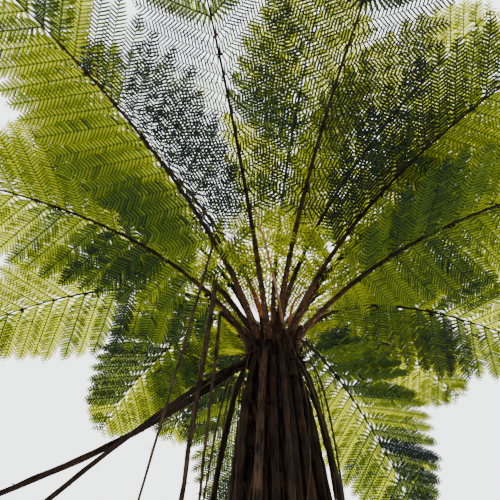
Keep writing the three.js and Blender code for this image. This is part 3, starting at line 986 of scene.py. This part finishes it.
def stalk_finish(name, tint):
    """A leaf stalk's skin, streaked and dotted with small warts, that changes colour away from the crown."""
    finish = Finish(name, tint.near[0], tint.roughness, gloss=0.06)
    streaks = finish.speckle(finish.place(tint.grain), scale=4.0, detail=5.0, distortion=0.6)
    warts = finish.speckle(finish.place((1, 1, 1)), scale=240.0, detail=1.0)
    patches = finish.speckle(finish.place((1, 1, 1)), scale=11.0, detail=2.0)
    pattern = streaks * 0.5 + warts * 0.15 + patches * 0.35
    colours = [finish.blend(*pair, pattern, span=(0.4, 0.62)) for pair in (tint.near, tint.far)]
    finish.use("Base Color", finish.faded(*colours, (finish.off_crown() - FADE_FROM) * (1 / tint.distance)))
    finish.use("Roughness", streaks * 0.25 + (tint.roughness - 0.12))
    finish.bump(streaks * 0.5 + warts * 0.5, strength=0.5, distance=0.002)
    return finish.material


def leaf_finish(name, blade, through):
    """A thin blade: a satin surface, and light that comes through it in a colour of its own."""
    finish = Finish(name, blade, roughness=0.55, gloss=0.12)
    thin = finish.add("ShaderNodeBsdfTranslucent", inputs={"Color": (*through, 1)})
    both = finish.add(
        "ShaderNodeMixShader",
        inputs={0: LIGHT_THROUGH, 1: Value(finish, finish.shader.outputs[0]), 2: thin},
    )
    finish.feed(finish.nodes["Material Output"].inputs["Surface"], both)
    return finish.material


def plain_finish(name, colour, roughness=DEALT_ROUGHNESS):
    """One plain colour, a little glossy."""
    return Finish(name, colour, roughness, gloss=0.15).material


FINISHES = {
    "fibre": fibre_finish(),
    **{name: stalk_finish(name, tint) for name, tint in STALK_TINTS.items()},
    **{name: leaf_finish(f"leaf_{name}", tint.blade, tint.through) for name, tint in TINTS.items()},
}
DEALT_FINISHES = {
    kind: [plain_finish(f"{kind}_{number}", colour) for number, colour in enumerate(colours, 1)]
    for kind, colours in DEALT_COLOURS.items()
}


def solid_points_of(nodes):
    """The corners of one or more of the frame's solids."""
    parts = []
    for node in nodes:
        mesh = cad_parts[node].data
        places = np.zeros(len(mesh.vertices) * 3, np.float32)
        mesh.vertices.foreach_get("co", places)
        parts.append(places.reshape(-1, 3))
    return np.concatenate(parts)


def frond_nodes(number):
    """The solids that one frond has: one, or an inner and an outer one."""
    names = (f"frond_{number}", f"frond_{number}_inner", f"frond_{number}_outer")
    return [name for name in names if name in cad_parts]


def ring_matrix(point, side, up, width):
    """Where a ring of one unit's radius goes: its middle, its two directions and its width."""
    along = np.cross(side, up)
    matrix = np.eye(4)
    matrix[:3, 0], matrix[:3, 1], matrix[:3, 2], matrix[:3, 3] = side, up, along, point
    return Matrix(matrix.tolist()) @ Matrix.Diagonal((width / 2, width / 2, width / 2, 1))


def add_tube(bm, matrices, sides, groove=0.0):
    """A closed tube through rings at the given places, with a groove along its upper side."""
    ring = bmesh.ops.create_circle(bm, cap_ends=True, segments=sides, radius=1)["verts"]
    for vert in ring:
        off_top = math.atan2(vert.co.x, vert.co.y)
        vert.co *= 1 - groove * math.exp(-((off_top / GROOVE_ANGLE) ** 2))
    bmesh.ops.transform(bm, matrix=matrices[0], verts=ring)
    edges = [edge for edge in bm.edges if all(vert in ring for vert in edge.verts)]
    for before, after in zip(matrices, matrices[1:]):
        grown = bmesh.ops.extrude_edge_only(bm, edges=edges)["geom"]
        ring = [part for part in grown if isinstance(part, bmesh.types.BMVert)]
        edges = [part for part in grown if isinstance(part, bmesh.types.BMEdge) and part.is_boundary]
        bmesh.ops.transform(bm, matrix=after @ before.inverted(), verts=ring)
    bmesh.ops.edgeloop_fill(bm, edges=edges)


def tube_along(bm, points, widths, sides, groove=0.0, twist=(0.0, 0.0)):
    """A closed tube along any line of points. Its groove turns from one angle to another."""
    ways = unit(np.gradient(points, axis=0))
    side = unit(np.cross(ways[0], TUBE_ASIDE))
    matrices = []
    for point, way, width, turn in zip(points, ways, widths, np.linspace(*twist, len(points))):
        side = unit(side - way * (side @ way))
        turned = side * math.cos(turn) + np.cross(way, side) * math.sin(turn)
        matrices.append(ring_matrix(point, turned, np.cross(way, turned), width))
    add_tube(bm, matrices, sides, groove)


def frond_stalk(number, arch):
    """A frond's stalk from the trunk to its tip, broader where it clasps the trunk."""
    shares = np.linspace(0, STALK_END, STALK_STATIONS)
    clasp = 1 + CLASP_SWELL * np.exp(-((shares / CLASP_SPAN) ** 2))
    widths = 2 * stalk_half(shares) * clasp
    matrices = []
    for share, width in zip(shares, widths):
        matrices.append(ring_matrix(arch.point(share), -arch.side, arch.up(share), width))
    bm = bmesh.new()
    add_tube(bm, matrices, STALK_SIDES, STALK_GROOVE)
    finish = FINISHES["young_stalk" if number == YOUNG_FROND else "live_stalk"]
    return finished_piece(f"frond_{number}_stalk", bm, finish)


def flake_arrays(roots, ways, normals, lengths, widths):
    """Small pointed flakes of two faces, each bent along its middle."""
    across = np.cross(normals, ways)
    middle = roots + ways * (FLAKE_BROADEST * lengths)[:, None]
    lift = normals * (FLAKE_LIFT * widths)[:, None]
    tips = roots + ways * lengths[:, None] - lift
    sides = across * (widths / 2)[:, None]
    points = np.stack([roots, middle + sides, tips, middle - sides, middle + lift], axis=1)
    starts = np.arange(len(roots))[:, None, None] * 5
    faces = (starts + np.array(((0, 1, 2, 4), (0, 4, 2, 3)))).reshape(-1, 4)
    return points.reshape(-1, 3), faces


def scaled_piece(name, kind, scales, roots, ways, out, chance):
    """Papery scales as one piece, from their roots along the ways, each leaning outwards."""
    count = len(roots)
    ways = unit(ways + out * chance.uniform(*scales.leans, (count, 1)))
    lengths = chance.uniform(*scales.lengths, count)
    points, faces = flake_arrays(roots, ways, square_to(ways, out), lengths, lengths * scales.slimness)
    dealt_mesh(name, points, faces, kind, FLAKE_FACES, chance)


def stalk_scales(number, arch, chance):
    """Scales that are thick round a stalk's foot and thin out along it."""
    young = number == YOUNG_FROND
    scales = YOUNG_SCALES if young else STALK_SCALES
    spread = YOUNG_SCALE_SPREAD if young else SCALE_SPREAD
    shares = spread * chance.beta(*SCALE_CROWDING, scales.count) + SCALE_START
    turns = chance.uniform(0, 2 * np.pi, scales.count)
    out = np.cos(turns)[:, None] * arch.side + np.sin(turns)[:, None] * arch.up(shares)
    roots = arch.point(shares) + out * stalk_half(shares)[:, None] * SCALE_ROOT_SHARE
    kind = "young_scales" if young else "scales"
    scaled_piece(f"frond_{number}_scales", kind, scales, roots, arch.along(shares), out, chance)


def withered_leaflets(number, arch, chance):
    """Dark shrunken leaflets that hang under the stalk in tufts, where small ones died."""
    roots, ways, normals, lengths = [], [], [], []
    for share in chance.uniform(*WITHERED_SPAN, WITHERED_PER_FROND):
        root = arch.point(share) - arch.up(share) * stalk_half(share) * WITHERED_ROOT_SHARE
        size = chance.uniform(*WITHERED_LENGTHS)
        for _ in range(WITHERED_IN_TUFT):
            way = unit(-UP * WITHERED_FALL + chance.normal(0, WITHERED_SPREAD, 3))
            roots.append(root)
            ways.append(way)
            normals.append(unit(np.cross(way, chance.normal(0, 1, 3))))
            lengths.append(size * chance.uniform(WITHERED_LEAST, 1))
    roots, ways, normals, lengths = (np.array(part) for part in (roots, ways, normals, lengths))
    points, faces = flake_arrays(roots, ways, normals, lengths, lengths * WITHERED_WIDTH_SHARE)
    piece = dealt_mesh(f"frond_{number}_withered", points, faces, "withered", FLAKE_FACES, chance)


def make_frond(number, spec):
    """One frond: its stalk, the blades of its leaflets, their ribs and the small growth on the stalk."""
    chance = seeded(number)
    arch = frond_arch(spec)
    nodes = frond_nodes(number)
    leaflets = [loosened(leaflet, chance) for leaflet in leaflets_of(number, arch, solid_points_of(nodes))]
    points, faces, tints = blade_arrays(leaflets, spec.tints, spec.closeness, chance)
    materials = [FINISHES[tint] for tint in TINT_ORDER]
    blade = joined_mesh(f"frond_{number}_leaflets", points, faces, materials, tints)
    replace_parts(blade, *nodes)
    points, faces = rib_arrays(leaflets)
    ribs = dealt_mesh(f"frond_{number}_ribs", points, faces, "rib", RIB_SIDES * (RIB_STATIONS - 1), chance)
    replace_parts(frond_stalk(number, arch), *nodes)
    stalk_scales(number, arch, chance)
    withered_leaflets(number, arch, chance)


def trunk_relief(angle, height):
    """How far the trunk's surface stands off its profile: strands down its length, and roots at its foot."""
    turn = Vector(level(angle))
    ridges = 1 - 2 * abs(STRAND_LAYER.at(turn, height))
    fine, lumps = FINE_LAYER.at(turn, height), LUMP_LAYER.at(turn, height)
    fibres = FIBRE_DEPTH * (RIDGE_SHARE * ridges - SUNK_SHARE + FINE_SHARE * fine + LUMP_SHARE * lumps)
    roots = BUTTRESS_LAYER.at(turn, height)
    return fibres + BUTTRESS_DEPTH * roots * math.exp(-height / BUTTRESS_HEIGHT)


def make_trunk():
    """The trunk, turned from its profile, with its relief and its lean."""
    bm = bmesh.new()
    heights = np.linspace(0, TRUNK_PROFILE[-1][1], TRUNK_ROWS)
    outline = [(0.0, 0.0), *((trunk_radius(height), height) for height in heights), (0.0, CROWN_HEIGHT)]
    verts = [bm.verts.new((radius, 0, height)) for radius, height in outline]
    edges = [bm.edges.new(pair) for pair in zip(verts, verts[1:])]
    bmesh.ops.spin(
        bm, geom=verts + edges, cent=(0, 0, 0), axis=(0, 0, 1), dvec=(0, 0, 0),
        angle=2 * math.pi, steps=TRUNK_COLUMNS, use_merge=True, use_duplicate=False,
    )
    bmesh.ops.remove_doubles(bm, verts=bm.verts, dist=MERGE_DISTANCE)
    for vert in bm.verts:
        radius = math.hypot(vert.co.x, vert.co.y)
        if radius > MERGE_DISTANCE:
            grown = 1 + trunk_relief(math.atan2(vert.co.y, vert.co.x), vert.co.z) / radius
            vert.co.x *= grown
            vert.co.y *= grown
        vert.co.x += trunk_centre(vert.co.z)[0]
    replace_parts(finished_piece("trunk_fibre", bm, FINISHES["fibre"]), "trunk")


def make_root_strands():
    """Loose wiry roots that run down the trunk and spread at its foot."""
    chance = seeded(0)
    lines, widths = [], []
    for _ in range(STRAND_COUNT):
        top = chance.uniform(*STRAND_TOPS)
        bottom = max(top - chance.uniform(*STRAND_LENGTHS), STRAND_LOWEST)
        heights = np.linspace(top, bottom, STRAND_STATIONS)
        drift = np.cumsum(chance.normal(0, STRAND_DRIFT, STRAND_STATIONS))
        angles = chance.uniform(0, 2 * np.pi) + drift
        width = lerp(*STRAND_WIDTHS, chance.uniform() ** STRAND_FINENESS)
        line = []
        for height, angle in zip(heights, angles):
            out = trunk_radius(height) + trunk_relief(angle, height) + width * STRAND_OUT_SHARE
            line.append(trunk_centre(height) + level(angle) * out)
        lines.append(line)
        widths.append(np.linspace(width, width * STRAND_TIP_SHARE, STRAND_STATIONS))
    points, faces = strand_arrays(lines, widths, STRAND_SIDES)
    points[:, 2] = np.maximum(points[:, 2], 0)
    piece = joined_mesh("root_strands", points, faces, [FINISHES["fibre"]], smooth=True)


def make_stumps():
    """The broken feet of old stalks, in a spiral under the crown."""
    chance = seeded(STUMP_SEED)
    shares = np.linspace(0, 1, STUMP_STATIONS)
    ragged = np.repeat(np.linspace(*STUMP_RAGGED, STUMP_STATIONS), STUMP_SIDES)
    bm = bmesh.new()
    for number in range(STUMP_COUNT):
        height = lerp(*STUMP_HEIGHTS, (number / STUMP_COUNT) ** STUMP_CROWDING)
        way = level(number * GOLDEN_TURN)
        root = trunk_centre(height) + way * (trunk_radius(height) - STUMP_SINK)
        lean = unit(way * chance.uniform(*STUMP_LEANS) + UP)
        length = chance.uniform(*STUMP_LENGTHS)
        points = root + lean * (length * shares)[:, None] + UP * (STUMP_BEND * shares**2)[:, None]
        widths = STUMP_WIDTH * chance.uniform(*STUMP_SWELL) * (1 - STUMP_TAPER * shares)
        before = len(bm.verts)
        tube_along(bm, points, widths, STUMP_SIDES)
        bm.verts.ensure_lookup_table()
        for vert, depth in zip(bm.verts[before:], ragged):
            vert.co += Vector(chance.normal(0, depth, 3)) + Vector(lean) * abs(chance.normal(0, 2 * depth))
    finished_piece("stalk_stumps", bm, FINISHES["dead_stalk"])


def crooked(points, depth, chance):
    """A line with small bends in it, none at its foot."""
    shift = np.cumsum(chance.normal(0, 1, (len(points), 3)), axis=0)
    shift -= shift[0]
    shift *= depth / max(np.abs(shift).max(), 1e-6)
    return points + shift * np.linspace(0, 1, len(points))[:, None]


def dead_stalk(name, points, widths, chance, node, finish="dead_stalk"):
    """A dry stalk along a line of points, with the stubs of its leaflets along its outer part."""
    points = crooked(points, STALK_CROOK, chance)
    bm = bmesh.new()
    tube_along(bm, points, widths, DEAD_SIDES, DEAD_GROOVE, chance.uniform(-DEAD_TWIST, DEAD_TWIST, 2))
    for vert in bm.verts:
        vert.co += Vector(chance.normal(0, STALK_GNARL * widths[0], 3))
    ways = unit(np.gradient(points, axis=0))
    shares = np.linspace(0, 1, STUB_STATIONS)
    for station in range(len(points) // 3, len(points) - 1, 2):
        out = unit(np.cross(ways[station], chance.normal(0, 1, 3)))
        lean = unit(out + ways[station] * STUB_LEAN)
        stub = points[station] + lean * (chance.uniform(*STUB_LENGTHS) * shares)[:, None]
        tube_along(bm, stub, widths[station] * STUB_WIDTH_SHARE * (1 - STUB_TAPER * shares), STUB_SIDES)
    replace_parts(finished_piece(name, bm, FINISHES[finish]), node)


def quadratic(start, middle, end, count):
    """Points along a curve from start to end that is drawn towards its middle point."""
    share = np.linspace(0, 1, count)[:, None]
    return start * (1 - share) ** 2 + middle * 2 * share * (1 - share) + end * share**2


def stalk_root(azimuth, foot):
    return trunk_centre(foot) + outward(azimuth) * ROOT_OUT


def from_crown(place):
    return np.array((CROWN_LEAN, 0.0, 0.0)) + np.array(place)


def make_skirt():
    """The hanging dead stalks, in two rings."""
    number = 0
    for ring in SKIRT_RINGS:
        for i in range(ring.count):
            number += 1
            chance = seeded(SKIRT_SEED + number)
            azimuth = ring.start + 360 * i / ring.count
            way = outward(azimuth)
            wave = math.sin(i * SKIRT_WAVE_TURN)
            spread = ring.spread + SKIRT_SPREAD_WAVE * wave
            foot = ring.foot + SKIRT_FOOT_WAVE * wave
            length = ring.length + SKIRT_LENGTH_WAVE * math.cos(i * SKIRT_WAVE_TURN)
            knee = trunk_centre(foot - length * KNEE_DROP_SHARE) + way * spread * KNEE_SPREAD_SHARE
            tip = trunk_centre(foot - length) + way * spread
            points = quadratic(stalk_root(azimuth, foot), knee, tip, HUNG_STATIONS)
            widths = ring.width * chance.uniform(*HUNG_SWELL) * np.linspace(1, HUNG_SKIN_SHARE, len(points))
            finish = "brown_stalk" if number in BROWN_STALKS else "dead_stalk"
            dead_stalk(f"hung_stalk_{number}", points, widths, chance, f"skirt_stalk_{number}", finish)


def make_sweeping_stalks():
    """Two dead stalks that sweep far out to one side."""
    shares = np.linspace(0, 1, SWEEPING_STATIONS)
    for number, (shape, width) in enumerate(SWEEPING_STALKS, 1):
        points = Arch(*shape).point(shares)
        widths = width * np.linspace(1, SWEEPING_TIP_SHARE, len(shares))
        node = f"sweeping_stalk_{number}"
        dead_stalk(f"swept_stalk_{number}", points, widths, seeded(SWEEPING_SEED + number), node)


def make_snapped_stalks():
    """Dead stalks that rise, snap over and hang, each as a rising piece and a hanging piece."""
    for number, (name, stalk) in enumerate(SNAPPED_STALKS.items()):
        chance = seeded(SNAPPED_SEED + number)
        root = stalk_root(stalk.azimuth, stalk.foot)
        apex, tip = from_crown(stalk.apex), from_crown(stalk.tip)
        arch = (root + apex) / 2 + UP * SNAPPED_ARCH
        rise = quadratic(root, arch, apex, RISE_STATIONS)
        hang = lerp(apex, tip, np.linspace(0, 1, HANG_STATIONS)[:, None])
        widths = stalk.width * np.linspace(1, SNAPPED_SHARE, len(rise))
        dead_stalk(f"rising_stalk_{name}", rise, widths, chance, f"snapped_{name}_rise")
        widths = stalk.width * np.linspace(1, HUNG_TIP_SHARE, len(hang))
        dead_stalk(f"hanging_stalk_{name}", hang, widths, chance, f"snapped_{name}_hang", "brown_stalk")


def make_bent_stalk():
    """A thin pale stalk that withered young and bent over among the live ones."""
    root = stalk_root(BENT_STALK.azimuth, BENT_STALK.foot)
    points = quadratic(root, from_crown(BENT_STALK.apex), from_crown(BENT_STALK.tip), BENT_STATIONS)
    widths = BENT_STALK.width * BENT_SWELL * np.linspace(1, HUNG_TIP_SHARE, len(points))
    dead_stalk("withered_young_stalk", points, widths, seeded(BENT_SEED), "bent_stalk", "tan_stalk")


def make_crown_remnants():
    """A reddish stub and a small pale curl, left of young fronds that withered in the crown."""
    for name, (foot, middle, tip, width, finish) in CROWN_REMNANTS.items():
        points = quadratic(*(np.array(place) for place in (foot, middle, tip)), REMNANT_STATIONS)
        bm = bmesh.new()
        tube_along(bm, points, width * np.linspace(1, REMNANT_TIP_SHARE, len(points)), REMNANT_SIDES)
        finished_piece(name, bm, FINISHES[finish])


def make_crossing_stalks():
    """Slender dead stalks that hang from under the crown and bow across the skirt."""
    chance = seeded(CROSSING_SEED)
    shares = np.linspace(0, 1, CROSSING_STATIONS)
    rounded = np.sqrt(np.sin(math.pi / 2 * np.sqrt(shares)))
    bm = bmesh.new()
    for number in range(CROSSING_COUNT):
        azimuths = CROSSING_START + 360 * number / CROSSING_COUNT + chance.normal(0, CROSSING_JITTER)
        azimuths = azimuths + chance.normal(0, CROSSING_SLANT) * shares
        azimuths = azimuths + chance.normal(0, CROSSING_BOW) * np.sin(math.pi * shares)
        heights = chance.uniform(*CROSSING_FEET) - chance.uniform(*CROSSING_LENGTHS) * shares
        spreads = lerp(ROOT_OUT, chance.uniform(*CROSSING_SPREADS), rounded)
        line = []
        for height, azimuth, spread in zip(heights, azimuths, spreads):
            line.append(trunk_centre(height) + outward(azimuth) * spread)
        widths = chance.uniform(*CROSSING_WIDTHS) * np.linspace(1, HUNG_TIP_SHARE, CROSSING_STATIONS)
        line = crooked(np.array(line), CROSSING_CROOK, chance)
        tube_along(bm, line, widths, CROSSING_SIDES, DEAD_GROOVE)
    finished_piece("crossing_stalks", bm, FINISHES["brown_stalk"])


def make_loose_fibres():
    """Wiry fibres that have come away from the trunk and hang off it."""
    chance = seeded(LOOSE_SEED)
    lines, widths = [], []
    shares = np.linspace(0, 1, LOOSE_STATIONS)
    for _ in range(LOOSE_COUNT):
        top = chance.uniform(*LOOSE_HEIGHTS)
        angles = chance.uniform(0, 2 * np.pi) + shares * chance.normal(0, LOOSE_DRIFT)
        heights = top - chance.uniform(*LOOSE_LENGTHS) * shares
        off = chance.uniform(*LOOSE_OUT) * np.sin(shares * math.pi * chance.uniform(*LOOSE_BOW))
        start = trunk_relief(angles[0], top) - LOOSE_SINK
        out = trunk_radius(heights) + start + off
        middles = np.array([trunk_centre(height) for height in heights])
        ways = np.stack([np.cos(angles), np.sin(angles), 0 * angles], axis=1)
        lines.append(middles + ways * out[:, None])
        widths.append(np.linspace(1, LOOSE_TIP_SHARE, LOOSE_STATIONS) * chance.uniform(*LOOSE_WIDTHS))
    points, faces = strand_arrays(lines, widths, LOOSE_SIDES)
    piece = joined_mesh("loose_fibres", points, faces, [FINISHES["fibre"]], smooth=True)


def make_crozier():
    """The coiled young frond, with scales all over it."""
    way = outward(CROZIER_AZIMUTH)
    base = trunk_centre(CROZIER_FOOT) + way * CROZIER_OUT
    top = base + UP * CROZIER_HEIGHT
    turns = np.linspace(0, 2 * math.pi * COIL_TURNS, COIL_STATIONS)[:, None]
    radii = np.linspace(COIL_OUTER, COIL_INNER, COIL_STATIONS)[:, None]
    coil = top - way * COIL_OUTER + way * np.cos(turns) * radii + UP * np.sin(turns) * radii
    points = np.concatenate([lerp(base, top, np.linspace(0, 1, CROZIER_STATIONS)[:-1, None]), coil])
    widths = CROZIER_WIDTH * np.linspace(1, CROZIER_TIP_SHARE, len(points))
    bm = bmesh.new()
    tube_along(bm, points, widths, CROZIER_SIDES)
    piece = finished_piece("coiled_frond", bm, FINISHES["young_stalk"])
    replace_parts(piece, "crozier")
    chance = seeded(CROZIER_SEED)
    picks = chance.integers(1, len(points) - 1, COIL_SCALES.count)
    ways = unit(np.gradient(points, axis=0))[picks]
    out = unit(np.cross(ways, chance.normal(0, 1, (len(picks), 3))))
    roots = points[picks] + out * (widths[picks] * COIL_ROOT_SHARE)[:, None]
    scaled_piece("coiled_frond_scales", "young_scales", COIL_SCALES, roots, ways, out, chance)


def make_floor():
    """A plain pale floor round the trunk's foot."""
    bm = bmesh.new()
    bmesh.ops.create_grid(bm, x_segments=1, y_segments=1, size=FLOOR_SIZE)
    finish = plain_finish("pale_floor", FLOOR_COLOUR, FLOOR_ROUGHNESS)
    floor = in_scene("floor", mesh_of("floor", bm, finish))


def make_light():
    """A pale surround, brightest overhead, and a soft high lamp that shines through the fronds."""
    world = bpy.data.worlds.new("pale_surround")
    tree = Tree(world)
    way = tree.add("ShaderNodeTexCoord", output="Generated")
    height = tree.add("ShaderNodeSeparateXYZ", inputs={"Vector": way}, output="Z")
    stops = list(zip(SURROUND_STOPS, (SURROUND_LOW, SURROUND_HIGH)))
    colour = tree.add("ShaderNodeValToRGB", {"stops": stops}, {"Fac": height})
    background = tree.nodes["Background"]
    tree.feed(background.inputs["Color"], colour)
    background.inputs["Strength"].default_value = SURROUND_STRENGTH
    bpy.context.scene.world = world
    lamp = bpy.data.lights.new("high_lamp", "SUN")
    lamp.energy = SUN_STRENGTH
    lamp.angle = SUN_SOFTNESS
    in_scene("high_lamp", lamp).rotation_euler = (SUN_TILT, 0, 0)


def make_camera():
    """The camera at the photograph's viewing angle."""
    camera = bpy.data.cameras.new("camera")
    camera.lens = CAMERA_LENS
    camera.sensor_width = CAMERA_SENSOR
    camera.clip_start, camera.clip_end = CAMERA_CLIP
    holder = in_scene("camera", camera)
    holder.location = CAMERA_PLACE
    holder.rotation_euler = (CAMERA_TILT, 0, 0)
    bpy.context.scene.camera = holder


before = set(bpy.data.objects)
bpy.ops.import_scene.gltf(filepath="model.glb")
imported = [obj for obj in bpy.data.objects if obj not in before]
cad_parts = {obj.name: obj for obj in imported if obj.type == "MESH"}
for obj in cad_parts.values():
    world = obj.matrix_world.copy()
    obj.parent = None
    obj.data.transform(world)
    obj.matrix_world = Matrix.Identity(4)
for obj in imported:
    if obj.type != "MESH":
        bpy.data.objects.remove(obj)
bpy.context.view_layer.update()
make_camera()
make_light()
make_floor()
make_trunk()
make_root_strands()
make_stumps()
for number, spec in enumerate(FRONDS, 1):
    make_frond(number, spec)
make_skirt()
make_sweeping_stalks()
make_snapped_stalks()
make_bent_stalk()
make_crown_remnants()
make_crossing_stalks()
make_loose_fibres()
make_crozier()
